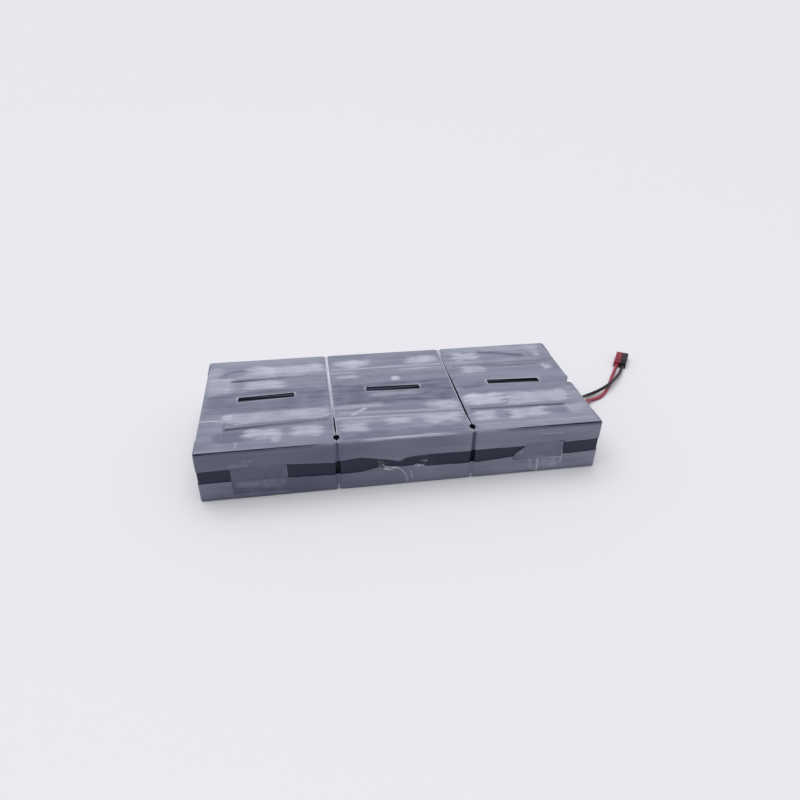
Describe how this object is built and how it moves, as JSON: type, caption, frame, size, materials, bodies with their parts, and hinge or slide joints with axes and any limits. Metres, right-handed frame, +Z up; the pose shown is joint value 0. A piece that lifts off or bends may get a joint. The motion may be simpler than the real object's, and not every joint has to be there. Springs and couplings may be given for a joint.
{
  "type": "sealed lead-acid battery pack",
  "caption": "Flat pack of sealed lead-acid battery blocks joined in series, wrapped in hazy tape, with a red and black lead to a two-pole connector.",
  "frame": {"origin": "on the floor, under the middle of the pack", "axes": "+X along the pack towards the end that the leads leave, +Y from the front row to the back row, +Z up"},
  "size_m": [0.6337, 0.2637, 0.0658],
  "materials": {
    "case_plastic": "moulded black ABS, satin",
    "valve_rubber": "moulded rubber",
    "terminal_metal": "tinned brass",
    "link_metal": "tinned copper strip",
    "plate_lead": "cast lead and pasted plates",
    "wrap_film": "hazy adhesive film over black",
    "clear_tape": "clear packing tape with air under it",
    "foam": "black closed-cell foam",
    "red_insulation": "red wire insulation",
    "black_insulation": "black wire insulation",
    "red_housing": "moulded red polycarbonate",
    "black_housing": "moulded black polycarbonate",
    "contact_metal": "silver-plated copper"
  },
  "bodies": {
    "root": {"back_left_jar": "case_plastic", "back_left_lid": "case_plastic", "back_left_plate_groups": "plate_lead", "back_left_terminals": "terminal_metal", "back_left_vent_cover": "case_plastic", "back_lower_film": "wrap_film", "back_middle_jar": "case_plastic", "back_middle_lid": "case_plastic", "back_middle_plate_groups": "plate_lead", "back_middle_terminals": "terminal_metal", "back_middle_vent_cover": "case_plastic", "back_right_jar": "case_plastic", "back_right_lid": "case_plastic", "back_right_plate_groups": "plate_lead", "back_right_terminals": "terminal_metal", "back_right_vent_cover": "case_plastic", "back_top_tape": "clear_tape", "back_upper_film": "wrap_film", "black_connector_housing": "black_housing", "black_lead": "black_insulation", "channel_spacers": "foam", "column_pads": "foam", "connector_contacts": "contact_metal", "end_link": "link_metal", "front_left_jar": "case_plastic", "front_left_lid": "case_plastic", "front_left_plate_groups": "plate_lead", "front_left_terminals": "terminal_metal", "front_left_vent_cover": "case_plastic", "front_lower_film": "wrap_film", "front_middle_jar": "case_plastic", "front_middle_lid": "case_plastic", "front_middle_plate_groups": "plate_lead", "front_middle_terminals": "terminal_metal", "front_middle_vent_cover": "case_plastic", "front_right_jar": "case_plastic", "front_right_lid": "case_plastic", "front_right_plate_groups": "plate_lead", "front_right_terminals": "terminal_metal", "front_right_vent_cover": "case_plastic", "front_top_tape": "clear_tape", "front_upper_film": "wrap_film", "lead_receptacles": "terminal_metal", "left_bottom_film": "wrap_film", "left_front_tape": "clear_tape", "left_top_film": "wrap_film", "middle_bottom_film": "wrap_film", "middle_front_tape": "clear_tape", "middle_top_film": "wrap_film", "red_connector_housing": "red_housing", "red_lead": "red_insulation", "right_bottom_film": "wrap_film", "right_front_tape": "clear_tape", "right_top_film": "wrap_film", "series_links": "link_metal", "valve_caps": "valve_rubber"}
  },
  "joints": []
}
